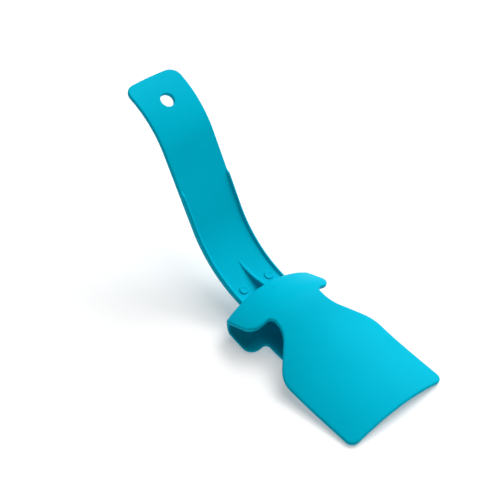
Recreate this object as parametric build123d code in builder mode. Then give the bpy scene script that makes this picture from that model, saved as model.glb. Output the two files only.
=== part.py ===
from build123d import *

import os
from math import cos, radians, sin, sqrt, tan

# Clip-on shoe helper, in millimetres. X runs along the tool: the long handle rises
# towards -X and the blade's tip points to +X. Z is up. The tool is symmetric about
# Y = 0, and the origin is on the ground under the middle of its box.
# It stands as it does on a table, on the foot plate's two ears and the blade's two
# tip corners, with the handle in the air.

# ---- driving dimensions ---------------------------------------------------------------
HANDLE_THICKNESS = 2.6
HANDLE_END_HALF_WIDTH = 17.5
HANDLE_ROOT_HALF_WIDTH = 16.7
HANDLE_CORNER_RADIUS = 6.5
HANDLE_END_BOW = 0.8
HANDLE_EDGE_RADIUS = 0.9

ROOT_X = -5.05  # where the handle leaves the fold
ROOT_Z = 14.41
ROOT_SLOPE = 15.1  # degrees, falling towards +X
LOWER_BEND_RADIUS = 63.6
LOWER_BEND_ANGLE = 42.8
STRAIGHT_LENGTH = 44.6
UPPER_BEND_RADIUS = 53.5
UPPER_BEND_ANGLE = 45.6

HOLE_RADIUS = 4.0
HOLE_FROM_END = 16.6  # along the handle

LIP_HEIGHT = 1.3
LIP_WIDTH = 1.8
LIP_LENGTH = 70.0  # along the handle, from its root
LIP_RUN_OUT = 3.5

STUD_RADIUS = 2.7
STUD_HEIGHT = 0.6
STUD_DEPTH = 1.0  # how far the shank sits in the handle
STUD_EDGE_RADIUS = 0.35
STUD_SPACING = 18.9
STUD_FROM_ROOT = 3.8

GUSSET_THICKNESS = 2.0
GUSSET_HEEL = (-25.5, 25.34)  # X and Z, inside the handle
GUSSET_FOOT = (-16.3, 18.6)  # inside the handle too
GUSSET_DIP = (-10.0, 20.45)
GUSSET_TIP = (1.2, 21.6)  # inside the fold's upper leg

FOLD_THICKNESS = 2.8
PLATE_THICKNESS = 2.7
BLADE_THICKNESS = 3.0
EDGE_RADIUS = 1.0

SPLIT_X = 6.0  # the fold ends and the two leaves begin
HINGE_GAP = 0.15  # slit between the fold and the blade, which turns on it
NOSE_X = -1.7  # middle of the sheet at the fold's front, on Y = 0
NOSE_PLAN_RADIUS = 220.0
NOSE_CORNER_RADIUS = 4.5
FOLD_ROOT_LENGTH = 7.0  # the flat strap that carries the handle into the fold
UPPER_SLOPE = 13.0
LOWER_SLOPE = -19.0

EAR_HALF_WIDTH = 31.3
EAR_END_X = 20.3
EAR_RADIUS = 7.5
NOTCH_X = 21.1
NOTCH_RADIUS = 3.2

NECK_HALF_WIDTH = 17.4
FLARE_START_X = 31.0
FLARE_END_X = 48.6
FLARE_RADIUS = 14.0
BLADE_HALF_WIDTH = 34.7
BLADE_END_X = 100.2
BLADE_CORNER_RADIUS = 5.5

TONGUE_ROOT_HALF_WIDTH = 19.4
TONGUE_END_HALF_WIDTH = 21.5
TONGUE_END_X = 76.0
TONGUE_END_RADIUS = 15.0

# The crown lines of the two leaves, as X and the height of the sheet's middle, and the
# radius of the arch across each leaf at its root and at its tip.
BLADE_CROWN = (
    (SPLIT_X, 21.8),
    (18.0, 24.1),
    (31.0, 21.6),
    (46.0, 16.4),
    (70.0, 10.7),
    (BLADE_END_X + 1.8, 6.15),
)
BLADE_ARCH_RADII = (58.0, 108.0)
PLATE_CROWN = (
    (SPLIT_X, 11.1),
    (15.0, 8.45),
    (25.0, 5.8),
    (42.0, 4.7),
    (TONGUE_END_X + 2.0, 4.1),
)
PLATE_ARCH_RADII = (64.0, 90.0)
SECTIONS_PER_LEAF = 12

# Where the fold's cross-sections stand, across the tool.
NOSE_STATIONS = (-33.0, -24.0, -12.0, 0.0, 12.0, 24.0, 33.0)

# Working sizes that only have to be larger than the piece they cut.
REACH = 40.0
TALL = 130.0

os.makedirs("parts", exist_ok=True)


def direction(degrees):
    """The unit vector at this angle above +X, in the XZ plane."""
    return (cos(radians(degrees)), sin(radians(degrees)))


def sag(y, radius):
    """How far an arch of this radius has fallen at the distance y from its crown."""
    return radius - sqrt(radius**2 - y**2)


def save(part, name):
    """Label a finished piece and write its STEP file."""
    part.label = name
    export_step(part, f"parts/{name}.step")


def draw_lower_bend(lift):
    """The handle's lower bend, from its root, lifted off the strap's middle."""
    slope = radians(ROOT_SLOPE)
    start = (ROOT_X + lift * sin(slope), ROOT_Z + lift * cos(slope))
    tangent = direction(180 - ROOT_SLOPE)
    return JernArc(start, tangent, LOWER_BEND_RADIUS - lift, -LOWER_BEND_ANGLE)


def draw_handle_line():
    """The middle of the handle's strap, from its root to its end."""
    lower = draw_lower_bend(0)
    straight = PolarLine(lower @ 1, STRAIGHT_LENGTH, direction=lower % 1)
    return JernArc(straight @ 1, straight % 1, UPPER_BEND_RADIUS, UPPER_BEND_ANGLE)


def draw_lip_line():
    """The middle of a side lip's height: the lower bend and the start of the straight."""
    bend = draw_lower_bend((HANDLE_THICKNESS + LIP_HEIGHT) / 2)
    straight_length = LIP_LENGTH - LOWER_BEND_RADIUS * radians(LOWER_BEND_ANGLE)
    PolarLine(bend @ 1, straight_length, direction=bend % 1)


def handle_half_width(x):
    """The handle widens evenly from its root to its end."""
    share = (ROOT_X - x) / (ROOT_X - HANDLE_END_X)
    return HANDLE_ROOT_HALF_WIDTH + share * (HANDLE_END_HALF_WIDTH - HANDLE_ROOT_HALF_WIDTH)


def mirrored_points(points):
    """The -Y half of an outline, from its far end back to its start."""
    return [(x, -y) for x, y in reversed(points)]


def symmetric_outline(points, radii):
    """A closed plan outline from its +Y half and the radius of each of that half's corners."""
    corners = points + mirrored_points(points)
    with BuildSketch() as outline:
        with BuildLine():
            FilletPolyline(*corners, radius=radii + list(reversed(radii)), close=True)
        make_face()
    return outline.sketch


def leaf_section(crown, arch_radius, thickness):
    """An arched leaf cut across at one point of its crown: two arcs and two short ends."""
    drop = sag(REACH, arch_radius)
    with BuildSketch(Plane.YZ.offset(crown.X)) as section:
        with BuildLine():
            arcs = []
            for z in (crown.Z + thickness / 2, crown.Z - thickness / 2):
                arcs.append(ThreePointArc((-REACH, z - drop), (0, z), (REACH, z - drop)))
            upper, lower = arcs
            Line(upper @ 0, lower @ 0)
            Line(upper @ 1, lower @ 1)
        make_face()
    return section.sketch


def leaf_sections(crown_points, root_slope, arch_radii, thickness):
    """An arched leaf's cross-sections at even steps along its crown line."""
    (near_x, near_z), (far_x, far_z) = crown_points[-2:]
    with BuildLine(Plane.XZ):
        tangents = [direction(root_slope), (far_x - near_x, far_z - near_z)]
        crown_line = Spline(*crown_points, tangents=tangents)
    first_radius, last_radius = arch_radii
    sections = []
    for step in range(SECTIONS_PER_LEAF + 1):
        share = step / SECTIONS_PER_LEAF
        arch_radius = first_radius + share * (last_radius - first_radius)
        sections.append(leaf_section(crown_line @ share, arch_radius, thickness))
    return sections


def free_edges(leaf):
    """The rims of a leaf's two broad faces, without the joint with the fold."""
    rims = leaf.edges().filter_by(Axis.Z, reverse=True)
    return [edge for edge in rims if edge.center().X > SPLIT_X + 1]


def nose_section(y):
    """The fold cut along the tool at y: two straight legs joined by the nose's arc."""
    upper_z = BLADE_CROWN[0][1] - sag(y, BLADE_ARCH_RADII[0])
    lower_z = PLATE_CROWN[0][1] - sag(y, PLATE_ARCH_RADII[0])
    upper_rise, lower_rise = tan(radians(UPPER_SLOPE)), tan(radians(LOWER_SLOPE))
    apex_x = SPLIT_X - (upper_z - lower_z) / (upper_rise - lower_rise)
    apex_z = upper_z - (SPLIT_X - apex_x) * upper_rise
    middle_x, middle_z = direction((UPPER_SLOPE + LOWER_SLOPE) / 2)
    spread = sin(radians((UPPER_SLOPE - LOWER_SLOPE) / 2))
    nose_x = NOSE_X + sag(y, NOSE_PLAN_RADIUS)
    along = (nose_x - apex_x) / (middle_x - spread)
    centre = Vector(apex_x + along * middle_x, apex_z + along * middle_z)

    def draw_face(offset):
        """One face of the sheet, offset from its middle, and its two ends."""
        radius = along * spread + offset
        upper_end = Vector(SPLIT_X, upper_z + offset / cos(radians(UPPER_SLOPE)))
        lower_end = Vector(SPLIT_X, lower_z - offset / cos(radians(LOWER_SLOPE)))
        arc = ThreePointArc(
            centre + Vector(*direction(90 + UPPER_SLOPE)) * radius,
            centre - Vector(middle_x, middle_z) * radius,
            centre + Vector(*direction(LOWER_SLOPE - 90)) * radius,
        )
        Line(upper_end, arc @ 0)
        Line(arc @ 1, lower_end)
        return upper_end, lower_end

    with BuildSketch(Plane.XZ.offset(-y)) as section:
        with BuildLine():
            outer_ends = draw_face(FOLD_THICKNESS / 2)
            inner_ends = draw_face(-FOLD_THICKNESS / 2)
            for outer_end, inner_end in zip(outer_ends, inner_ends):
                Line(outer_end, inner_end)
        make_face()
    return section.sketch


# ---- places on the handle ---------------------------------------------------------------
with BuildLine(Plane.XZ):
    upper_bend = draw_handle_line()
HANDLE_END_X = (upper_bend @ 1).X

hole_share = 1 - HOLE_FROM_END / upper_bend.length
hole_run = upper_bend % hole_share
hole_plane = Plane(
    origin=upper_bend @ hole_share, x_dir=(0, 1, 0), z_dir=(hole_run.Z, 0, -hole_run.X)
)

root_run = Vector(*direction(180 - ROOT_SLOPE))
root_normal = Vector(*direction(90 - ROOT_SLOPE))
stud_place = Vector(ROOT_X, ROOT_Z) + root_run * STUD_FROM_ROOT
stud_place += root_normal * (HANDLE_THICKNESS / 2 - STUD_DEPTH)
stud_plane = Plane(
    origin=(stud_place.X, 0, stud_place.Y), x_dir=(0, 1, 0), z_dir=(root_normal.X, 0, root_normal.Y)
)

# ---- studs: two round-headed pins either side of the gusset -------------------------------
stud_parts = []
for stud_name, stud_side in (("left_stud", -1), ("right_stud", 1)):
    with BuildPart(stud_plane) as stud:
        with Locations((stud_side * STUD_SPACING / 2, 0)):
            Cylinder(
                STUD_RADIUS,
                STUD_DEPTH + STUD_HEIGHT,
                align=(Align.CENTER, Align.CENTER, Align.MIN),
            )
        fillet(stud.edges().sort_by(Axis.Z)[-1], STUD_EDGE_RADIUS)
    save(stud.part, stud_name)
    stud_parts.append(stud.part)

# ---- handle: the long bent strap with its hanging hole ------------------------------------
with BuildPart() as handle_strap:
    with BuildSketch(Plane.XZ):
        with BuildLine():
            draw_handle_line()
        trace(line_width=HANDLE_THICKNESS)
    extrude(amount=REACH, both=True)
    with BuildSketch() as handle_plan:
        with BuildLine():
            far_x = ROOT_X + HANDLE_THICKNESS
            sides = []
            for side in (1, -1):
                root_corner = (far_x, side * handle_half_width(far_x))
                end_corner = (HANDLE_END_X, side * HANDLE_END_HALF_WIDTH)
                sides.append(Line(root_corner, end_corner))
            Line(sides[0] @ 0, sides[1] @ 0)
            ThreePointArc(sides[0] @ 1, (HANDLE_END_X - HANDLE_END_BOW, 0), sides[1] @ 1)
        make_face()
        fillet(handle_plan.vertices().group_by(Axis.X)[0], HANDLE_CORNER_RADIUS)
    extrude(amount=TALL, mode=Mode.INTERSECT)
    handle_rims = [edge for edge in handle_strap.edges() if edge.center().X < ROOT_X - 1]
    fillet(handle_rims, HANDLE_EDGE_RADIUS)
    with Locations(hole_plane):
        Hole(HOLE_RADIUS, depth=REACH)
    for stud_part in stud_parts:
        add(stud_part, mode=Mode.SUBTRACT)
save(handle_strap.part, "handle_strap")

# ---- side lips: two low walls along the handle's lower half ---------------------------------
for lip_name, side in (("left_lip", -1), ("right_lip", 1)):
    with BuildPart() as lip:
        with BuildSketch(Plane.XZ) as lip_side:
            with BuildLine():
                draw_lip_line()
            trace(line_width=LIP_HEIGHT)
            lip_top = lip_side.vertices().sort_by(Axis.X)[:2].sort_by(Axis.Z)[-1]
            chamfer(lip_top, LIP_HEIGHT * 0.9, LIP_RUN_OUT)
        extrude(amount=REACH, both=True)
        with BuildSketch():
            with BuildLine():
                far_x, near_x = ROOT_X + LIP_HEIGHT, ROOT_X - LIP_LENGTH
                far_y, near_y = handle_half_width(far_x), handle_half_width(near_x)
                Polyline(
                    (far_x, side * far_y),
                    (near_x, side * near_y),
                    (near_x, side * (near_y - LIP_WIDTH)),
                    (far_x, side * (far_y - LIP_WIDTH)),
                    close=True,
                )
            make_face()
        extrude(amount=TALL, mode=Mode.INTERSECT)
    save(lip.part, lip_name)

# ---- fold: the U-shaped spring that carries the two leaves on the handle --------------------
with BuildPart() as clip_fold:
    loft(sections=[nose_section(y) for y in NOSE_STATIONS])
    corner_x = NOSE_X - FOLD_THICKNESS / 2 + sag(EAR_HALF_WIDTH, NOSE_PLAN_RADIUS)
    fold_points = [(corner_x, EAR_HALF_WIDTH), (SPLIT_X, EAR_HALF_WIDTH)]
    with BuildSketch() as fold_plan:
        with BuildLine():
            Polyline((ROOT_X - 1, 0), *fold_points, *mirrored_points(fold_points), close=True)
        make_face()
        nose_corners = [v for v in fold_plan.vertices() if v.X < 0 and abs(v.Y) > 1]
        fillet(nose_corners, NOSE_CORNER_RADIUS)
    extrude(amount=TALL, mode=Mode.INTERSECT)
    with BuildSketch(Plane.XZ):
        with BuildLine():
            PolarLine((ROOT_X, ROOT_Z), FOLD_ROOT_LENGTH, direction=direction(-ROOT_SLOPE))
        trace(line_width=HANDLE_THICKNESS)
    extrude(amount=HANDLE_ROOT_HALF_WIDTH, both=True)
save(clip_fold.part, "clip_fold")

# ---- gusset: the thin fin that props the fold's nose against the handle ---------------------
with BuildPart() as gusset:
    with BuildSketch(Plane.XZ):
        with BuildLine():
            gusset_top = ThreePointArc(GUSSET_HEEL, GUSSET_DIP, GUSSET_TIP)
            Polyline(gusset_top @ 1, (ROOT_X + 1, ROOT_Z), GUSSET_FOOT, gusset_top @ 0)
        make_face()
    extrude(amount=GUSSET_THICKNESS / 2, both=True)
    add(handle_strap.part, mode=Mode.SUBTRACT)
    add(clip_fold.part, mode=Mode.SUBTRACT)
save(gusset.part, "gusset")

# ---- foot plate: the inner leaf, with its two ears and its tongue ---------------------------
ear_points = [(SPLIT_X, EAR_HALF_WIDTH), (EAR_END_X, EAR_HALF_WIDTH)]
with BuildPart() as foot_plate:
    loft(sections=leaf_sections(PLATE_CROWN, LOWER_SLOPE, PLATE_ARCH_RADII, PLATE_THICKNESS))
    plate_points = ear_points + [
        (NOTCH_X, TONGUE_ROOT_HALF_WIDTH),
        (TONGUE_END_X, TONGUE_END_HALF_WIDTH),
    ]
    plate_outline = symmetric_outline(
        plate_points, [0, EAR_RADIUS, NOTCH_RADIUS, TONGUE_END_RADIUS]
    )
    extrude(to_extrude=plate_outline, amount=TALL, both=True, mode=Mode.INTERSECT)
    fillet(free_edges(foot_plate), EDGE_RADIUS)
save(foot_plate.part, "foot_plate")

# ---- outer blade: the leaf that goes outside the shoe ---------------------------------------
with BuildPart() as outer_blade:
    loft(sections=leaf_sections(BLADE_CROWN, UPPER_SLOPE, BLADE_ARCH_RADII, BLADE_THICKNESS))
    blade_points = [(SPLIT_X + HINGE_GAP, EAR_HALF_WIDTH), (EAR_END_X, EAR_HALF_WIDTH)] + [
        (NOTCH_X, NECK_HALF_WIDTH),
        (FLARE_START_X, NECK_HALF_WIDTH),
        (FLARE_END_X, BLADE_HALF_WIDTH),
        (BLADE_END_X, BLADE_HALF_WIDTH),
    ]
    blade_outline = symmetric_outline(
        blade_points,
        [0, EAR_RADIUS, NOTCH_RADIUS, FLARE_RADIUS, FLARE_RADIUS, BLADE_CORNER_RADIUS],
    )
    extrude(to_extrude=blade_outline, amount=TALL, both=True, mode=Mode.INTERSECT)
    fillet(free_edges(outer_blade), EDGE_RADIUS)
save(outer_blade.part, "outer_blade")
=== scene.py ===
from math import cos, pi, radians, sin, sqrt, tan

import bpy
import numpy as np
from mathutils import Matrix, Vector
from mathutils.geometry import delaunay_2d_cdt


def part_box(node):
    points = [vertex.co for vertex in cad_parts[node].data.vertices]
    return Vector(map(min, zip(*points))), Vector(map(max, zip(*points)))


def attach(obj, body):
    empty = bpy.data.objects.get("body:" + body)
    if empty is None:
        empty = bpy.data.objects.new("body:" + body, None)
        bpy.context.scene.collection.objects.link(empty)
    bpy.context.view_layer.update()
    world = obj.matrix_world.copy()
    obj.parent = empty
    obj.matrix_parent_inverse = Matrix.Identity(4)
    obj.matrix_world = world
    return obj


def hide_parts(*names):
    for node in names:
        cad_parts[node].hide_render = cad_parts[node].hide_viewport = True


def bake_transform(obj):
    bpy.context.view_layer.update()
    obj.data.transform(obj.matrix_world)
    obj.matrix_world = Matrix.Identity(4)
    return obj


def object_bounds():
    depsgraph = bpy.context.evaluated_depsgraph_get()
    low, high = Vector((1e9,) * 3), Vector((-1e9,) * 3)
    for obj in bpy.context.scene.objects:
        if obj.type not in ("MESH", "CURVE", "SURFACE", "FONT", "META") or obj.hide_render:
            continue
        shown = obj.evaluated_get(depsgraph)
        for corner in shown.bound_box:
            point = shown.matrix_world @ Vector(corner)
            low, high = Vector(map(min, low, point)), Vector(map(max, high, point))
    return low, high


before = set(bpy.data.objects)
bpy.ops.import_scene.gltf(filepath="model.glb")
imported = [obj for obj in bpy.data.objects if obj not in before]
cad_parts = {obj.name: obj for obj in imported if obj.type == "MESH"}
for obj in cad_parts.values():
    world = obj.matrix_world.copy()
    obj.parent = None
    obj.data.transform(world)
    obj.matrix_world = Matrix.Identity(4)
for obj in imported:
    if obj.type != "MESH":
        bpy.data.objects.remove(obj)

# Clip-on shoe helper. One satin plastic moulding: a bent handle with two side lips, a
# gusset and two studs at its root, and a folded spring clip with two arched leaves.
# Sizes are in millimetres until a mesh is made, and MM turns them into metres.
MM = 0.001
CAD_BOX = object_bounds()
HANDLE_BODY = "handle_side"


def far_end_mm(node):
    """How far a CAD node reaches along X, in millimetres."""
    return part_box(node)[1][0] / MM


FOLD_END = far_end_mm("clip_fold")
PLATE_END = far_end_mm("foot_plate")
BLADE_END = far_end_mm("outer_blade")

# ---- the handle's line, in the XZ plane --------------------------------------------------------
ROOT = np.array([-5.05, 14.41])
ROOT_SLOPE = radians(15.1)
LOWER_BEND = (63.6, radians(42.8))  # radius and angle
STRAIGHT_LENGTH = 44.6
UPPER_BEND = (53.5, radians(45.6))
HANDLE_LENGTH = LOWER_BEND[0] * LOWER_BEND[1] + STRAIGHT_LENGTH + UPPER_BEND[0] * UPPER_BEND[1]
HANDLE_THICKNESS = 2.6
HANDLE_START = -5.0  # inside the fold's wall
HANDLE_START_BOW = 2.0  # how far the start's middle reaches past its sides
HANDLE_START_BOW_RADIUS = 60.0
HANDLE_START_RADIUS = 3.6
HANDLE_ROOT_HALF_WIDTH = 16.7
HANDLE_END_HALF_WIDTH = 17.8
HANDLE_CORNER_RADIUS = 6.5
HANDLE_END_BOW = 0.8
HANDLE_END_BOW_RADIUS = 150.0
HANDLE_EDGE_RADIUS = 0.8
HOLE_FROM_END = 16.6
HOLE_RADIUS = 4.0
HOLE_EDGE_RADIUS = 0.45
HOLE_LOOPS = (0.8,)  # extra loops of mesh, by how far they lie from the rim

LIP_HEIGHT = 1.3
LIP_LENGTH = 70.0
LIP_RUN_OUT = 3.5
LIP_CREST = 1.0  # how far in from the side the lip's top reaches
LIP_FOOT = 2.2  # and its foot
LIP_LOOPS = 10  # of mesh, over the lip's inner side
LIP_LAST_LOOP = 2.5

STUD_SPACING = 18.9
STUD_FROM_ROOT = 3.8
STUD_SEGMENTS = 40
# Radius and height of a stud, from its middle to below the handle's face.
STUD_PROFILE = (
    (0.0, 0.42),
    (1.3, 0.44),
    (1.9, 0.54),
    (2.15, 0.6),
    (2.4, 0.58),
    (2.56, 0.48),
    (2.64, 0.28),
    (2.7, 0.12),
    (2.82, 0.03),
    (3.05, 0.0),
    (3.05, -0.4),
)

GUSSET_HALF_THICKNESS = 1.0
GUSSET_RIDGE = ((-21.06, 23.06), (-10.0, 20.45), (3.5, 22.35))  # three points of its arc
GUSSET_START = 22.6  # along the handle, where the ridge leaves it
GUSSET_END = -7.5
GUSSET_TAPER = 7.0
GUSSET_START_SHARE = 0.3  # of the full thickness, where the taper starts
GUSSET_FLARE = 1.1  # how much thicker it grows towards the nose
GUSSET_FLARE_START = 2.6
GUSSET_FLARE_LENGTH = 8.0
GUSSET_FLARE_FADE = 0.5  # the share of the flare that is gone at the ridge
GUSSET_LEAST_HEIGHT = 0.1
GUSSET_FULL_HEIGHT = 1.3  # its roundings shrink where it is lower than this
GUSSET_CROWN_RADIUS = 0.5
GUSSET_FOOT_RADIUS = 0.75
GUSSET_CROWN_POINTS = 6
GUSSET_WALL_SHARES = (0.25, 0.5, 0.75)
GUSSET_FOOT_POINTS = 7
NOSE_FRONT = -2.6  # along the handle's line, just inside the nose
# First place, last place and count of the gusset's sections, before the nose and beyond it.
GUSSET_BEFORE_NOSE = ((GUSSET_START, 2.0, 34), (1.7, NOSE_FRONT, 14))
GUSSET_BEYOND_NOSE = (NOSE_FRONT - 0.1, GUSSET_END, 16)

WEB_FILLET = 1.5  # between the handle and the fold's nose
WEB_STEPS = 6
WEB_STATIONS = 45
WEB_DEPTH = 0.4  # how far a joining piece sinks into what it joins

# ---- the clip: a fold and two arched leaves ----------------------------------------------------
SPLIT_X = FOLD_END
NOSE_X = -1.7
NOSE_PLAN_RADIUS = 220.0
NOSE_CORNER_RADIUS = 4.5
FOLD_THICKNESS = 2.8
PLATE_THICKNESS = 2.7
BLADE_THICKNESS = 3.0
THICKNESS_RUN = 4.0  # past the fold's ends, over which the wall reaches the leaf's thickness
CLIP_EDGE_RADIUS = 1.05
CLIP_LOOPS = (1.4, 2.1)
WAIST = (0.1, 0.9, 17)  # the fold's side: its first and last share of the nose, and its points
UPPER_SLOPE = tan(radians(13.0))
LOWER_SLOPE = tan(radians(-19.0))

EAR_HALF_WIDTH = 30.1
EAR_LENGTH = 14.3  # from the fold to the ears' ends
EAR_RADIUS = 7.2
NOTCH_LENGTH = 15.1
NOTCH_RADIUS = 3.2
NECK_HALF_WIDTH = 17.4
FLARE_START = 25.0
FLARE_END = 42.6
FLARE_RADIUS = 14.0
BLADE_HALF_WIDTH = 35.1
BLADE_LENGTH = BLADE_END - SPLIT_X
BLADE_CORNER_RADIUS = 4.8
TONGUE_ROOT_HALF_WIDTH = 19.4
TONGUE_END_HALF_WIDTH = 21.5
TONGUE_LENGTH = PLATE_END - SPLIT_X
TONGUE_END_RADIUS = 15.0

BLADE_CROWN = ((6.0, 21.5), (18.0, 24.1), (31.0, 21.6), (46.0, 16.4), (70.0, 10.7), (102.0, 6.35))
BLADE_ARCH_RADII = (58.0, 108.0)
PLATE_CROWN = ((6.0, 11.1), (15.0, 8.45), (25.0, 5.8), (42.0, 4.7), (78.0, 4.1))
PLATE_ARCH_RADII = (64.0, 90.0)

# ---- looks -------------------------------------------------------------------------------------
DEEP_CYAN = (0.0, 0.385, 0.535, 1.0)
CLEAR_CYAN = (0.0, 0.405, 0.56, 1.0)
SPECULAR_TINT = (0.0, 0.75, 0.9, 1.0)
SPECULAR_LEVEL = 0.015
REFRACTIVE_INDEX = 1.49
ROUGHNESS = (0.4, 0.5)
CLOUDS = (40.0, 3.0)  # scale and detail
CLOUD_RAMP = (0.3, 0.7)  # where the deep colour ends and the clear one starts
GRAIN = (3000.0, 2.0)
GRAIN_STRENGTH = 0.25
GRAIN_DEPTH = 0.00002  # metres

WHITE = (1.0, 1.0, 1.0, 1.0)
FLOOR_COLOUR = (0.6, 0.6, 0.6, 1.0)
FLOOR_GLOW = 0.38
FLOOR_ROUGHNESS = 0.9
FLOOR_REACH = 30.0
SQUARE = ((-1, -1), (1, -1), (1, 1), (-1, 1))
SKY_STRENGTH = 0.02
HORIZON_STRENGTH = 0.75
HORIZON_HEIGHTS = (0.05, 0.3)  # sine of the elevation where the horizon's glow fades
LIGHT_DISTANCE = 4.0
LIGHTS = (  # name, direction, width in metres and power in watts
    ("key", (-0.05, 0.32, 0.94), 3.6, 150.0),
    ("side", (-0.12, 0.72, 0.66), 2.8, 146.0),
)

# ---- camera, in degrees and metres -------------------------------------------------------------
MIDDLE = (CAD_BOX[0] + CAD_BOX[1]) / 2
CAMERA_ANGLES = (44.57, 41.38, 3.33)  # azimuth, elevation and roll
CAMERA_DISTANCE = 0.691
CAMERA_AIM = (-0.01474, 0.0, -0.01598)  # from the middle of the object
CAMERA_LENS = 91.07
CAMERA_SENSOR = 36.0

# ---- mesh fineness -----------------------------------------------------------------------------
GRID = 1.2
GRID_GAP = 0.6 * GRID  # least gap between a grid point and a loop's points
CREASE_GAP = 0.45 * GRID  # and between a grid point and the crease
CREASE_END_GAP = 0.4  # between the crease's last point and the rim
MERGE_GAP = 1e-7
BATCH = 500  # points whose gaps are measured at once
RIM_STEP = 0.9
ARC_STEP = radians(6.0)
ROUNDING_STEPS = 6
LEAST_TURN = 1e-6
NUDGE = 0.01  # for slopes taken by difference
SLIVER = 1e-4  # triangles with less than half this area are left out


# ---- curves ------------------------------------------------------------------------------------
def smooth_step(value):
    """0 below 0, 1 above 1, and a soft S between."""
    share = np.clip(value, 0.0, 1.0)
    return share * share * (3.0 - 2.0 * share)


def sag(y, radius):
    """How far an arch of this radius has fallen at the distance y from its crown."""
    return radius - np.sqrt(radius**2 - y**2)


def crown_line(points, first_slope):
    """A smooth height curve through the points, with this slope at its start."""
    x, z = np.array(points).T
    step = np.diff(x)
    rise = np.diff(z) / step
    count = len(x)
    matrix = np.eye(count)
    target = np.empty(count)
    target[0], target[-1] = first_slope, rise[-1]
    for i in range(1, count - 1):
        before, after = 1 / step[i - 1], 1 / step[i]
        matrix[i, i - 1 : i + 2] = before, 2 * (before + after), after
        target[i] = 3 * (rise[i - 1] * before + rise[i] * after)
    slope = np.linalg.solve(matrix, target)

    def height(at):
        i = np.clip(np.searchsorted(x, at) - 1, 0, count - 2)
        t = (at - x[i]) / step[i]
        ends = z[i] * (1 + 2 * t) * (1 - t) ** 2 + z[i + 1] * t * t * (3 - 2 * t)
        slopes = slope[i] * t * (1 - t) ** 2 - slope[i + 1] * t * t * (1 - t)
        return ends + slopes * step[i]

    return height


blade_crown = crown_line(BLADE_CROWN, UPPER_SLOPE)
plate_crown = crown_line(PLATE_CROWN, LOWER_SLOPE)


def leaf_height(x, y, crown, crown_points, arch_radii):
    """The height of an arched leaf's middle."""
    share = (x - crown_points[0][0]) / (crown_points[-1][0] - crown_points[0][0])
    radius = arch_radii[0] + share * (arch_radii[1] - arch_radii[0])
    return crown(x) - sag(y, radius)


def blade_height(x, y):
    """The height of the blade's middle."""
    return leaf_height(x, y, blade_crown, BLADE_CROWN, BLADE_ARCH_RADII)


def plate_height(x, y):
    """The height of the foot plate's middle."""
    return leaf_height(x, y, plate_crown, PLATE_CROWN, PLATE_ARCH_RADII)


def nose_circle(y):
    """The nose at y: its two legs' angles, its circle, and the ends of its legs."""
    upper_z, lower_z = blade_height(SPLIT_X, y), plate_height(SPLIT_X, y)
    upper = np.arctan((blade_height(SPLIT_X + NUDGE, y) - upper_z) / NUDGE)
    lower = np.arctan((plate_height(SPLIT_X + NUDGE, y) - lower_z) / NUDGE)
    apex_x = SPLIT_X - (upper_z - lower_z) / (np.tan(upper) - np.tan(lower))
    apex_z = upper_z - (SPLIT_X - apex_x) * np.tan(upper)
    middle, spread = (upper + lower) / 2, np.sin((upper - lower) / 2)
    nose_x = NOSE_X + sag(y, NOSE_PLAN_RADIUS)
    along = (nose_x - apex_x) / (np.cos(middle) - spread)
    centre_x, centre_z = apex_x + along * np.cos(middle), apex_z + along * np.sin(middle)
    return upper, lower, centre_x, centre_z, along * spread, upper_z, lower_z


def nose_point(share, y):
    """A point of the nose's middle, from the blade's root at share 0 to the plate's at 1."""
    upper, lower, centre_x, centre_z, radius, upper_z, lower_z = nose_circle(y)
    start, end = upper + pi / 2, lower + 3 * pi / 2
    start_x, start_z = centre_x + radius * np.cos(start), centre_z + radius * np.sin(start)
    end_x, end_z = centre_x + radius * np.cos(end), centre_z + radius * np.sin(end)
    first_leg = np.hypot(SPLIT_X - start_x, upper_z - start_z)
    last_leg = np.hypot(SPLIT_X - end_x, lower_z - end_z)
    bend = radius * (end - start)
    run = share * (first_leg + bend + last_leg)
    on_first, on_last = run / first_leg, (run - first_leg - bend) / last_leg
    angle = start + np.clip((run - first_leg) / radius, 0, end - start)
    x = centre_x + radius * np.cos(angle)
    z = centre_z + radius * np.sin(angle)
    x = np.where(on_first < 1, SPLIT_X + (start_x - SPLIT_X) * on_first, x)
    z = np.where(on_first < 1, upper_z + (start_z - upper_z) * on_first, z)
    x = np.where(on_last > 0, end_x + (SPLIT_X - end_x) * on_last, x)
    z = np.where(on_last > 0, end_z + (lower_z - end_z) * on_last, z)
    return x, z


def nose_length():
    """The length of the nose's middle line on the tool's own middle plane."""
    x, z = nose_point(np.linspace(0, 1, 200), np.zeros(200))
    return float(np.hypot(np.diff(x), np.diff(z)).sum())


NOSE_LENGTH = nose_length()


# ---- the two sheets, as places (u, y) turned into points ---------------------------------------
def clip_point(u, y):
    """The clip's middle surface. u runs from the plate's end, round the nose, to the blade's."""
    nose_x, nose_z = nose_point(np.clip(-u / NOSE_LENGTH, 0, 1), y)
    blade_x = SPLIT_X + np.maximum(u, 0)
    plate_x = SPLIT_X + np.maximum(-NOSE_LENGTH - u, 0)
    x = np.where(u > 0, blade_x, np.where(u < -NOSE_LENGTH, plate_x, nose_x))
    z = np.where(u > 0, blade_height(blade_x, y), nose_z)
    z = np.where(u < -NOSE_LENGTH, plate_height(plate_x, y), z)
    return np.stack([x, y, z], axis=1)


def clip_half_thickness(u, y):
    """Half the clip's wall: a little thicker in the blade than in the plate."""
    ends = [-NOSE_LENGTH - THICKNESS_RUN, -NOSE_LENGTH / 2, THICKNESS_RUN]
    return np.interp(u, ends, [PLATE_THICKNESS / 2, FOLD_THICKNESS / 2, BLADE_THICKNESS / 2])


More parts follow.
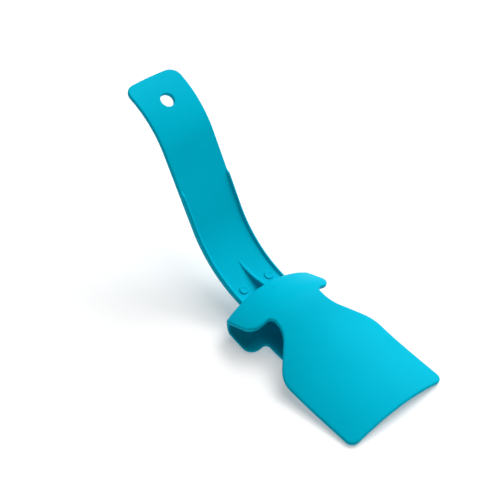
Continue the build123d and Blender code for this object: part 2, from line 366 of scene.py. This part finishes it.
def handle_section(s):
    """The handle's middle line at the length s from its root: x, z and its direction."""
    lower_radius, lower_angle = LOWER_BEND
    upper_radius = UPPER_BEND[0]
    lower_length = lower_radius * lower_angle
    turn = np.clip(s / lower_radius, 0, lower_angle)
    x = ROOT[0] - lower_radius * (np.sin(ROOT_SLOPE + turn) - sin(ROOT_SLOPE))
    z = ROOT[1] - lower_radius * (np.cos(ROOT_SLOPE + turn) - cos(ROOT_SLOPE))
    straight = np.clip(s - lower_length, 0, STRAIGHT_LENGTH) + np.minimum(s, 0)
    x -= straight * np.cos(ROOT_SLOPE + turn)
    z += straight * np.sin(ROOT_SLOPE + turn)
    back = np.maximum(s - lower_length - STRAIGHT_LENGTH, 0) / upper_radius
    steep = ROOT_SLOPE + lower_angle
    x -= upper_radius * (sin(steep) - np.sin(steep - back))
    z += upper_radius * (np.cos(steep - back) - cos(steep))
    return x, z, ROOT_SLOPE + turn - back


def handle_point(s, y):
    """The handle's middle surface."""
    x, z, _ = handle_section(s)
    return np.stack([x, y, z], axis=1)


def handle_half_width(s):
    """The handle widens evenly from its root to its end."""
    return np.interp(s, [0, HANDLE_LENGTH], [HANDLE_ROOT_HALF_WIDTH, HANDLE_END_HALF_WIDTH])


def lip_rise(s, y):
    """How far the side lips stand above the handle."""
    start = smooth_step((LIP_LENGTH - s) / LIP_RUN_OUT)
    side = handle_half_width(s) - np.abs(y)
    return LIP_HEIGHT * start * (1 - smooth_step((side - LIP_CREST) / (LIP_FOOT - LIP_CREST)))


def handle_top(s, y):
    """From the handle's middle to its upper face, with the lips."""
    return HANDLE_THICKNESS / 2 + lip_rise(s, y)


def handle_bottom(s, y):
    """From the handle's middle to its lower face."""
    return np.full(len(s), HANDLE_THICKNESS / 2)


def surface_normals(place, u, y):
    """The middle surface's normals, by difference."""
    along = place(u + NUDGE, y) - place(u - NUDGE, y)
    across = place(u, y + NUDGE) - place(u, y - NUDGE)
    normal = np.cross(along, across)
    return normal / np.linalg.norm(normal, axis=1, keepdims=True)


# ---- outlines ----------------------------------------------------------------------------------
def rounded_outline(rounded_corners):
    """A closed outline through corners (u, y, rounding radius), as points a short step apart."""
    *places, radii = np.array(rounded_corners, float).T
    corners = np.stack(places, axis=1)
    count = len(corners)
    stretches = []
    for i in range(count):
        corner = corners[i]
        before, after = corners[i - 1] - corner, corners[(i + 1) % count] - corner
        before /= np.linalg.norm(before)
        after /= np.linalg.norm(after)
        turn = pi - np.arccos(np.clip(before @ after, -1, 1))
        if radii[i] == 0 or turn < LEAST_TURN:
            stretches.append([corner])
            continue
        tangent = radii[i] * tan(turn / 2)
        middle = (before + after) / np.linalg.norm(before + after)
        centre = corner + middle * radii[i] / cos(turn / 2)
        first, last = corner + before * tangent - centre, corner + after * tangent - centre
        steps = max(2, int(np.ceil(turn / ARC_STEP)))
        weights = [(sin(turn * (1 - k / steps)), sin(turn * k / steps)) for k in range(steps + 1)]
        stretches.append([centre + (a * first + b * last) / sin(turn) for a, b in weights])
    points = []
    for i in range(count):
        points.extend(stretches[i])
        start, end = stretches[i][-1], stretches[(i + 1) % count][0]
        steps = int(np.ceil(np.linalg.norm(end - start) / RIM_STEP))
        points.extend(start + (end - start) * k / steps for k in range(1, steps))
    return np.array(points)


def circle_outline(centre, radius):
    """A hole's outline, which runs clockwise."""
    angles = -np.arange(0, 2 * pi, ARC_STEP)
    return np.stack([centre[0] + radius * np.cos(angles), centre[1] + radius * np.sin(angles)], 1)


def inset(points, depth):
    """The outline moved into the material by this depth."""
    edges = np.roll(points, -1, axis=0) - points
    left = np.stack([-edges[:, 1], edges[:, 0]], axis=1)
    left /= np.linalg.norm(left, axis=1, keepdims=True)
    normal = left + np.roll(left, 1, axis=0)
    normal /= (normal * normal).sum(axis=1, keepdims=True) / 2
    return points + normal * depth


def inside(points, outline):
    """Which of the points lie inside a closed outline."""
    x, y = points[:, 0:1], points[:, 1:2]
    ax, ay = outline[:, 0], outline[:, 1]
    bx, by = np.roll(ax, -1), np.roll(ay, -1)
    rise = np.where(by == ay, 1.0, by - ay)
    crosses = ((ay > y) != (by > y)) & (x < ax + (bx - ax) * (y - ay) / rise)
    return crosses.sum(axis=1) % 2 == 1


def near(points, outline, gap):
    """Which of the points lie closer to the outline's points than this gap."""
    found = np.zeros(len(points), bool)
    for start in range(0, len(points), BATCH):
        part = points[start : start + BATCH]
        spans = np.linalg.norm(part[:, None] - outline[None], axis=2)
        found[start : start + BATCH] = spans.min(axis=1) < gap
    return found


def fill_region(outer, holes, crease=None):
    """Triangles between an outer loop and its holes, over an even grid. Their points come
    after the loops' own points."""
    low, high = outer.min(axis=0), outer.max(axis=0)
    x = np.arange(low[0] + GRID / 2, high[0], GRID)
    y = np.arange(GRID / 2, high[1], GRID)
    y = np.concatenate([-y[::-1], y])
    grid = np.stack(np.meshgrid(x, y, indexing="ij"), axis=-1).reshape(-1, 2)
    keep = inside(grid, outer) & ~near(grid, outer, GRID_GAP)
    for hole in holes:
        keep &= ~inside(grid, hole[::-1]) & ~near(grid, hole, GRID_GAP)
    loops = [outer, *holes]
    edges, start = [], 0
    for loop in loops:
        count = len(loop)
        edges += [(start + k, start + (k + 1) % count) for k in range(count)]
        start += count
    if crease is not None:
        keep &= np.abs(grid[:, 0] - crease) > CREASE_GAP
        ends = [k for k in range(len(outer)) if abs(outer[k, 0] - crease) < NUDGE]
        ends.sort(key=lambda k: outer[k, 1])
        side = outer[ends[1], 1] - CREASE_END_GAP
        line = np.array([(crease, value) for value in y if abs(value) < side])
        first = start
        edges += [(first + k, first + k + 1) for k in range(len(line) - 1)]
        edges += [(ends[0], first), (first + len(line) - 1, ends[1])]
        loops.append(line)
    points = np.concatenate(loops + [grid[keep]])
    made = delaunay_2d_cdt([Vector(p) for p in points.tolist()], edges, [], 0, MERGE_GAP)
    vertices = np.array([tuple(v) for v in made[0]])
    faces = np.array([face for face in made[2] if len(face) == 3])
    centres = vertices[faces].mean(axis=1)
    first, last = (vertices[faces[:, k]] - vertices[faces[:, 0]] for k in (1, 2))
    areas = first[:, 0] * last[:, 1] - first[:, 1] * last[:, 0]
    good = inside(centres, outer) & (np.abs(areas) > SLIVER)
    for hole in holes:
        good &= ~inside(centres, hole[::-1])
    order = np.full(len(vertices), -1)
    for new, olds in enumerate(made[3]):
        order[new] = olds[0]
    return points, order[faces[good]]


# ---- sheets: a closed shell round a middle surface ---------------------------------------------
def rim_depths(radius, more=()):
    """How far in from the rim each loop lies: the rounding's loops, then any more."""
    angles = np.linspace(0, pi / 2, ROUNDING_STEPS)
    return [radius * (1 - cos(angle)) for angle in angles] + list(more)


def rounding(depth, radius):
    """How far a rounded rim has fallen at this depth from it."""
    short = max(radius - depth, 0.0)
    return radius - sqrt(radius**2 - short**2)


def sheet_shell(rims, place, front, back, crease=None):
    """A closed shell. rims is a list of (outline, rounding radius, depths of its loops), and
    front and back are its heights along the middle surface's normal and against it.
    Returns points, faces, and each point's place (u, y)."""
    places, heights, faces, inner_loops, inner_starts = [], [], [], [], []
    start = 0
    for outline, radius, depths in rims:
        count = len(outline)
        for side, height in ((1, front), (-1, back)):
            for depth in depths:
                loop = inset(outline, depth)
                places.append(loop)
                fall = rounding(depth, radius)
                heights.append(side * (height(loop[:, 0], loop[:, 1]) - fall))
        rows = len(depths)
        for k in range(count):
            after = (k + 1) % count
            for row in range(rows - 1):
                a, b = start + row * count, start + (row + 1) * count
                faces.append((a + k, a + after, b + after, b + k))
                a, b = a + rows * count, b + rows * count
                faces.append((a + after, a + k, b + k, b + after))
            under = start + rows * count
            faces.append((under + k, under + after, start + after, start + k))
        inner_loops.append(inset(outline, depths[-1]))
        inner_starts.append((start + (rows - 1) * count, start + (2 * rows - 1) * count))
        start += 2 * rows * count
    points, triangles = fill_region(inner_loops[0], inner_loops[1:], crease)
    loop_total = sum(len(loop) for loop in inner_loops)
    middle = points[loop_total:]
    for side, height in enumerate((front, back)):
        numbers = [
            loop_starts[side] + np.arange(len(loop))
            for loop_starts, loop in zip(inner_starts, inner_loops)
        ]
        numbers.append(start + np.arange(len(middle)))
        numbers = np.concatenate(numbers)
        turned = triangles if side == 0 else triangles[:, ::-1]
        faces += [tuple(int(numbers[v]) for v in face) for face in turned]
        places.append(middle)
        heights.append((1, -1)[side] * height(middle[:, 0], middle[:, 1]))
        start += len(middle)
    places, heights = np.concatenate(places), np.concatenate(heights)
    u, y = places.T
    return place(u, y) + surface_normals(place, u, y) * heights[:, None], faces, places


# ---- pieces ------------------------------------------------------------------------------------
def mesh_normals(points, faces):
    """Every point's smooth normal, from all the faces round it."""
    mesh = bpy.data.meshes.new("scratch")
    mesh.from_pydata((np.asarray(points) * MM).tolist(), [], [list(face) for face in faces])
    normals = np.zeros(len(mesh.vertices) * 3, np.float32)
    mesh.vertex_normals.foreach_get("vector", normals)
    bpy.data.meshes.remove(mesh)
    return normals.reshape(-1, 3)


def new_piece(name, points, faces, normals=None):
    """A smooth-shaded object from points in millimetres."""
    mesh = bpy.data.meshes.new(name)
    mesh.from_pydata((np.asarray(points) * MM).tolist(), [], [list(face) for face in faces])
    mesh.shade_smooth()
    if normals is not None:
        mesh.normals_split_custom_set_from_vertices(normals.tolist())
    piece = bpy.data.objects.new(name, mesh)
    bpy.context.scene.collection.objects.link(piece)
    return piece


def part_of(points, faces, normals, chosen):
    """The chosen faces of a mesh, with only the points they use and a lid over the cut."""
    used = sorted({v for face in chosen for v in face})
    number = {old: new for new, old in enumerate(used)}
    faces = [tuple(number[v] for v in face) for face in chosen]
    sides = {(face[k - 1], face[k]) for face in faces for k in range(len(face))}
    after = {b: a for a, b in sides if (b, a) not in sides}
    lid = [min(after)]
    while after[lid[-1]] != lid[0]:
        lid.append(after[lid[-1]])
    return points[used], faces + [tuple(lid)], normals[used]


def finish_piece(piece, body, material, *nodes):
    """Material, body and the CAD nodes that the piece stands for."""
    piece.data.materials.append(material)
    if body is not None:
        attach(piece, body)
    if nodes:
        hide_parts(*nodes)


# ---- the clip ----------------------------------------------------------------------------------
def clip_outline():
    """The clip laid out flat: the blade, the fold's two sides and the foot plate."""
    blade = [
        (BLADE_LENGTH, BLADE_HALF_WIDTH, BLADE_CORNER_RADIUS),
        (FLARE_END, BLADE_HALF_WIDTH, FLARE_RADIUS),
        (FLARE_START, NECK_HALF_WIDTH, FLARE_RADIUS),
        (NOTCH_LENGTH, NECK_HALF_WIDTH, NOTCH_RADIUS),
        (EAR_LENGTH, EAR_HALF_WIDTH, EAR_RADIUS),
        (0.0, EAR_HALF_WIDTH, 0.0),
    ]
    waist = []
    for share in np.linspace(*WAIST):
        edge = np.array([EAR_HALF_WIDTH])
        x, _ = nose_point(np.array([share]), edge)
        front = NOSE_X + sag(EAR_HALF_WIDTH, NOSE_PLAN_RADIUS) - FOLD_THICKNESS / 2
        short = max(front + NOSE_CORNER_RADIUS - x[0], 0.0)
        drop = NOSE_CORNER_RADIUS - sqrt(NOSE_CORNER_RADIUS**2 - short**2)
        waist.append((-share * NOSE_LENGTH, EAR_HALF_WIDTH - drop, 0.0))
    end = -NOSE_LENGTH
    plate = [
        (end, EAR_HALF_WIDTH, 0.0),
        (end - EAR_LENGTH, EAR_HALF_WIDTH, EAR_RADIUS),
        (end - NOTCH_LENGTH, TONGUE_ROOT_HALF_WIDTH, NOTCH_RADIUS),
        (end - TONGUE_LENGTH, TONGUE_END_HALF_WIDTH, TONGUE_END_RADIUS),
    ]
    half = blade + waist + plate
    whole = half + [(u, -y, radius) for u, y, radius in reversed(half)]
    return rounded_outline(whole)


def make_clip(material):
    """The fold with the foot plate, and the blade, which arches away from the fold."""
    rim = (clip_outline(), CLIP_EDGE_RADIUS, rim_depths(CLIP_EDGE_RADIUS, CLIP_LOOPS))
    points, faces, places = sheet_shell(
        [rim], clip_point, clip_half_thickness, clip_half_thickness, crease=0.0
    )
    normals = mesh_normals(points, faces)
    on_blade = [places[list(face), 0].mean() > 0 for face in faces]
    for name, wanted in (("fold_and_plate_skin", False), ("outer_blade_skin", True)):
        chosen = [face for face, there in zip(faces, on_blade) if there == wanted]
        piece = new_piece(name, *part_of(points, faces, normals, chosen))
        if wanted:
            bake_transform(piece)
            finish_piece(piece, None, material, "outer_blade")
        else:
            finish_piece(piece, HANDLE_BODY, material, "clip_fold", "foot_plate")


# ---- the handle --------------------------------------------------------------------------------
def make_handle(material):
    """The strap with its rounded end, its hole and its two side lips."""
    corners = [
        (HANDLE_START, -HANDLE_ROOT_HALF_WIDTH, HANDLE_START_RADIUS),
        (HANDLE_LENGTH, -HANDLE_END_HALF_WIDTH, HANDLE_CORNER_RADIUS),
        (HANDLE_LENGTH + HANDLE_END_BOW, 0.0, HANDLE_END_BOW_RADIUS),
        (HANDLE_LENGTH, HANDLE_END_HALF_WIDTH, HANDLE_CORNER_RADIUS),
        (HANDLE_START, HANDLE_ROOT_HALF_WIDTH, HANDLE_START_RADIUS),
        (HANDLE_START - HANDLE_START_BOW, 0.0, HANDLE_START_BOW_RADIUS),
    ]
    outline = rounded_outline(corners)
    lip_loops = [*np.linspace(LIP_CREST, LIP_FOOT, LIP_LOOPS), LIP_LAST_LOOP]
    hole = circle_outline((HANDLE_LENGTH - HOLE_FROM_END, 0.0), HOLE_RADIUS)
    rims = [
        (outline, HANDLE_EDGE_RADIUS, rim_depths(HANDLE_EDGE_RADIUS, lip_loops)),
        (hole, HOLE_EDGE_RADIUS, rim_depths(HOLE_EDGE_RADIUS, HOLE_LOOPS)),
    ]
    points, faces, _ = sheet_shell(rims, handle_point, handle_bottom, handle_top)
    piece = new_piece("handle_skin", points, faces)
    finish_piece(piece, HANDLE_BODY, material, "handle_strap", "left_lip", "right_lip")


# ---- what joins the handle to the clip ---------------------------------------------------------
LOWER_CENTRE = ROOT + LOWER_BEND[0] * np.array([sin(ROOT_SLOPE), cos(ROOT_SLOPE)])


def circle_crossing(centre_a, radius_a, centre_b, radius_b, side):
    """One of the two points where two circles cross, left (1) or right (-1) of the line a-b."""
    line = centre_b - centre_a
    span = np.linalg.norm(line)
    along = (span**2 + radius_a**2 - radius_b**2) / (2 * span)
    away = sqrt(radius_a**2 - along**2)
    line /= span
    return centre_a + along * line + side * away * np.array([-line[1], line[0]])


def turned(centre, start, end, steps):
    """Points on the short arc about a centre, from start to end."""
    first, last = start - centre, end - centre
    turn = np.arccos(first @ last / (np.linalg.norm(first) * np.linalg.norm(last)))
    weights = [(sin(turn * (1 - k / steps)), sin(turn * k / steps)) for k in range(steps + 1)]
    return [centre + (a * first + b * last) / sin(turn) for a, b in weights]


def web_section(y, side):
    """The fillet between the nose and one face of the handle, cut at y: x and z."""
    _, _, centre_x, centre_z, radius, _, _ = nose_circle(y)
    nose = np.array([centre_x, centre_z])
    nose_radius = radius + FOLD_THICKNESS / 2
    handle_radius = LOWER_BEND[0] - side * HANDLE_THICKNESS / 2
    reach = handle_radius - side * WEB_FILLET
    centre = circle_crossing(LOWER_CENTRE, reach, nose, nose_radius + WEB_FILLET, -side)
    on_handle = LOWER_CENTRE + (centre - LOWER_CENTRE) * handle_radius / reach
    on_nose = nose + (centre - nose) * nose_radius / (nose_radius + WEB_FILLET)
    arc = turned(centre, on_handle, on_nose, WEB_STEPS)
    normals = [(centre - point) / WEB_FILLET for point in arc]
    sunk = [point - normal * WEB_DEPTH for point, normal in zip(arc, normals)]
    return arc + sunk[::-1], normals + [-normal for normal in normals[::-1]]


def strip_faces(rows, columns):
    """Faces of a tube of rows cross-sections with columns points each, and its two ends."""
    faces = []
    for row in range(rows - 1):
        for k in range(columns):
            a, b = row * columns + k, row * columns + (k + 1) % columns
            faces.append((a, b, b + columns, a + columns))
    last = (rows - 1) * columns
    ends = [tuple(range(columns))[::-1], tuple(last + k for k in range(columns))]
    return faces + ends


def make_web(name, side, half_width, material):
    """A fillet strip along the handle's root."""
    points, normals = [], []
    stations = np.linspace(-half_width, half_width, WEB_STATIONS)
    for y in stations:
        section, section_normals = web_section(y, side)
        points += [(x, y, z) for x, z in section]
        normals += [(x, 0.0, z) for x, z in section_normals]
    faces = strip_faces(len(stations), 2 * (WEB_STEPS + 1))
    piece = new_piece(name, points, faces, np.array(normals))
    finish_piece(piece, HANDLE_BODY, material)


def on_handle(s, y, height):
    """Points at this height above the handle's upper face."""
    x, z, slope = handle_section(s)
    lift = HANDLE_THICKNESS / 2 + height
    return np.stack([x + lift * np.sin(slope), y, z + lift * np.cos(slope)], axis=1)


def ridge_circle():
    """The circle through the gusset ridge's three points."""
    a, b, c = (np.array(point) for point in GUSSET_RIDGE)
    matrix = 2 * np.array([b - a, c - a])
    centre = np.linalg.solve(matrix, [b @ b - a @ a, c @ c - a @ a])
    return centre, np.linalg.norm(a - centre)


def nose_top(s):
    """How far the nose's upper side stands above the line of the handle's upper face."""
    _, _, centre_x, centre_z, radius, _, _ = nose_circle(0.0)
    normal = np.array([sin(ROOT_SLOPE), cos(ROOT_SLOPE)])
    base = on_handle(s, np.zeros(len(s)), 0.0)[:, [0, 2]] - (centre_x, centre_z)
    along = base @ normal
    reach = (radius + FOLD_THICKNESS / 2) ** 2 - (base * base).sum(axis=1)
    return -along + np.sqrt(along**2 + reach)


def ridge_height(s):
    """How far the gusset's ridge stands above the handle's upper face."""
    centre, radius = ridge_circle()
    base = on_handle(s, np.zeros(len(s)), 0.0)[:, [0, 2]] - centre
    _, _, slope = handle_section(s)
    normal = np.stack([np.sin(slope), np.cos(slope)], axis=1)
    along = (base * normal).sum(axis=1)
    return -along - np.sqrt(along**2 - (base * base).sum(axis=1) + radius**2)


def gusset_section(height):
    """Half of the gusset's section, from its ridge down to the handle: y and height."""
    scale = min(1.0, height / GUSSET_FULL_HEIGHT)
    crown, foot = GUSSET_CROWN_RADIUS * scale, GUSSET_FOOT_RADIUS * scale
    wall = GUSSET_HALF_THICKNESS
    section = [(0.0, height), ((wall - crown) / 2, height)]
    for angle in np.linspace(pi / 2, 0, GUSSET_CROWN_POINTS):
        section.append((wall - crown + crown * cos(angle), height - crown + crown * sin(angle)))
    for share in GUSSET_WALL_SHARES:
        section.append((wall, height - crown + share * (foot - height + crown)))
    for angle in np.linspace(pi, 3 * pi / 2, GUSSET_FOOT_POINTS):
        section.append((wall + foot + foot * cos(angle), foot + foot * sin(angle)))
    return section


def make_gusset(material):
    """The thin fin between the handle and the nose, soft at its foot and its ridge."""
    before = np.concatenate([np.linspace(*stretch) for stretch in GUSSET_BEFORE_NOSE])
    beyond = np.linspace(*GUSSET_BEYOND_NOSE)
    stations = np.concatenate([before, beyond])
    ground = np.concatenate([np.zeros(len(before)), nose_top(beyond)])
    heights = ridge_height(stations) - ground
    points = []
    for s, base, height in zip(stations, ground, heights):
        base += min(height - GUSSET_LEAST_HEIGHT, 0.0)
        height = max(height, GUSSET_LEAST_HEIGHT)
        half = np.array(gusset_section(height))
        taper = smooth_step((GUSSET_START - s) / GUSSET_TAPER)
        width = GUSSET_START_SHARE + (1 - GUSSET_START_SHARE) * taper
        flare = GUSSET_FLARE * smooth_step((GUSSET_FLARE_START - s) / GUSSET_FLARE_LENGTH)
        half[:, 0] *= width + flare * (1 - half[:, 1] / height * GUSSET_FLARE_FADE)
        half[:, 1] += base
        foot = [(half[-1, 0], base - WEB_DEPTH)]
        right = np.concatenate([half, foot])
        left = right[::-1] * (-1, 1)
        section = np.concatenate([right, left[:-1]])
        points.append(on_handle(np.full(len(section), s), section[:, 0], section[:, 1]))
    faces = strip_faces(len(stations), len(points[0]))
    piece = new_piece("gusset_skin", np.concatenate(points), [face[::-1] for face in faces])
    finish_piece(piece, HANDLE_BODY, material, "gusset")


def make_stud(name, side, material):
    """A low round boss with a shallow dish, soft where it meets the handle."""
    around = np.linspace(0, 2 * pi, STUD_SEGMENTS, endpoint=False)
    s_middle, y_middle = STUD_FROM_ROOT, side * STUD_SPACING / 2
    points = [on_handle(np.array([s_middle]), np.array([y_middle]), STUD_PROFILE[0][1])]
    for radius, height in STUD_PROFILE[1:]:
        s, y = s_middle + radius * np.cos(around), y_middle + radius * np.sin(around)
        points.append(on_handle(s, y, height))
    faces = [(0, 1 + k, 1 + (k + 1) % STUD_SEGMENTS) for k in range(STUD_SEGMENTS)]
    for ring in range(len(STUD_PROFILE) - 2):
        start = 1 + ring * STUD_SEGMENTS
        for k in range(STUD_SEGMENTS):
            after = (k + 1) % STUD_SEGMENTS
            a, b = start + k, start + after
            faces.append((a, a + STUD_SEGMENTS, b + STUD_SEGMENTS, b))
    last = 1 + (len(STUD_PROFILE) - 2) * STUD_SEGMENTS
    faces.append(tuple(range(last, last + STUD_SEGMENTS))[::-1])
    piece = new_piece(f"{name}_skin", np.concatenate(points), [face[::-1] for face in faces])
    finish_piece(piece, HANDLE_BODY, material, name)


# ---- material ----------------------------------------------------------------------------------
def make_plastic():
    """Satin moulded plastic: one deep cyan, a faint cloudiness and a very fine grain."""
    material = bpy.data.materials.new("satin_cyan_plastic")
    material.use_nodes = True
    nodes, links = material.node_tree.nodes, material.node_tree.links
    shader = nodes["Principled BSDF"]
    shader.inputs["IOR"].default_value = REFRACTIVE_INDEX
    shader.inputs["Specular IOR Level"].default_value = SPECULAR_LEVEL
    shader.inputs["Specular Tint"].default_value = SPECULAR_TINT
    place = nodes.new("ShaderNodeTexCoord")

    def noise(scale, detail):
        texture = nodes.new("ShaderNodeTexNoise")
        texture.inputs["Scale"].default_value = scale
        texture.inputs["Detail"].default_value = detail
        links.new(place.outputs["Object"], texture.inputs["Vector"])
        return texture.outputs["Fac"]

    clouds, grain = noise(*CLOUDS), noise(*GRAIN)
    colours = nodes.new("ShaderNodeValToRGB")
    stops = zip(colours.color_ramp.elements, CLOUD_RAMP, (DEEP_CYAN, CLEAR_CYAN))
    for stop, position, colour in stops:
        stop.position, stop.color = position, colour
    links.new(clouds, colours.inputs["Fac"])
    links.new(colours.outputs["Color"], shader.inputs["Base Color"])
    rough = nodes.new("ShaderNodeMapRange")
    rough.inputs["To Min"].default_value, rough.inputs["To Max"].default_value = ROUGHNESS
    links.new(grain, rough.inputs["Value"])
    links.new(rough.outputs["Result"], shader.inputs["Roughness"])
    bump = nodes.new("ShaderNodeBump")
    bump.inputs["Strength"].default_value = GRAIN_STRENGTH
    bump.inputs["Distance"].default_value = GRAIN_DEPTH
    links.new(grain, bump.inputs["Height"])
    links.new(bump.outputs["Normal"], shader.inputs["Normal"])
    return material


# ---- floor, light and camera -------------------------------------------------------------------
def make_floor():
    """A plain white sweep, far larger than the view."""
    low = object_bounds()[0]
    corners = [(x * FLOOR_REACH, y * FLOOR_REACH, min(low.z, 0.0)) for x, y in SQUARE]
    mesh = bpy.data.meshes.new("floor")
    mesh.from_pydata(corners, [], [(0, 1, 2, 3)])
    floor = bpy.data.objects.new("floor", mesh)
    bpy.context.scene.collection.objects.link(floor)
    material = bpy.data.materials.new("floor_white")
    material.use_nodes = True
    shader = material.node_tree.nodes["Principled BSDF"]
    shader.inputs["Base Color"].default_value = FLOOR_COLOUR
    shader.inputs["Emission Color"].default_value = WHITE
    shader.inputs["Emission Strength"].default_value = FLOOR_GLOW
    shader.inputs["Roughness"].default_value = FLOOR_ROUGHNESS
    shader.inputs["Specular IOR Level"].default_value = 0.0
    mesh.materials.append(material)


def make_light(name, direction, width, power):
    """A soft square light that faces the middle of the object."""
    data = bpy.data.lights.new(name, "AREA")
    data.shape = "SQUARE"
    data.size = width
    data.energy = power
    light = bpy.data.objects.new(name, data)
    away = Vector(direction).normalized()
    light.location = MIDDLE + away * LIGHT_DISTANCE
    light.rotation_mode = "QUATERNION"
    light.rotation_quaternion = away.to_track_quat("Z", "Y")
    bpy.context.scene.collection.objects.link(light)


def make_world():
    """A dim white sky, bright low down as in front of a white backdrop."""
    world = bpy.data.worlds.new("studio")
    world.use_nodes = True
    background = world.node_tree.nodes["Background"]
    background.inputs["Color"].default_value = WHITE
    nodes, links = world.node_tree.nodes, world.node_tree.links
    direction = nodes.new("ShaderNodeTexCoord")
    split = nodes.new("ShaderNodeSeparateXYZ")
    links.new(direction.outputs["Generated"], split.inputs["Vector"])
    fade = nodes.new("ShaderNodeMapRange")
    fade.inputs["From Min"].default_value, fade.inputs["From Max"].default_value = HORIZON_HEIGHTS
    fade.inputs["To Min"].default_value = HORIZON_STRENGTH
    fade.inputs["To Max"].default_value = SKY_STRENGTH
    links.new(split.outputs["Z"], fade.inputs["Value"])
    links.new(fade.outputs["Result"], background.inputs["Strength"])
    bpy.context.scene.world = world
    bpy.context.scene.view_settings.view_transform = "Standard"


def make_camera():
    """The camera looks down at the tool from its left and front."""
    azimuth, elevation, roll = (radians(angle) for angle in CAMERA_ANGLES)
    flat = cos(elevation)
    back = Vector((sin(azimuth) * flat, -cos(azimuth) * flat, sin(elevation)))
    level = Vector((cos(azimuth), sin(azimuth), 0.0))
    upright = back.cross(level)
    right = cos(roll) * level + sin(roll) * upright
    up = back.cross(right)
    data = bpy.data.cameras.new("camera")
    data.lens = CAMERA_LENS
    data.sensor_width = CAMERA_SENSOR
    camera = bpy.data.objects.new("camera", data)
    turn = Matrix((right, up, back)).transposed()
    camera.rotation_mode = "QUATERNION"
    camera.rotation_quaternion = turn.to_quaternion()
    camera.location = MIDDLE + Vector(CAMERA_AIM) + back * CAMERA_DISTANCE
    bpy.context.scene.collection.objects.link(camera)
    bpy.context.scene.camera = camera


make_camera()
make_world()
for light in LIGHTS:
    make_light(*light)

plastic = make_plastic()
make_clip(plastic)
make_handle(plastic)
make_web("upper_web", 1, HANDLE_ROOT_HALF_WIDTH - LIP_CREST, plastic)
make_web("lower_web", -1, HANDLE_ROOT_HALF_WIDTH - HANDLE_EDGE_RADIUS, plastic)
make_gusset(plastic)
for stud_name, stud_side in (("left_stud", -1), ("right_stud", 1)):
    make_stud(stud_name, stud_side, plastic)
make_floor()
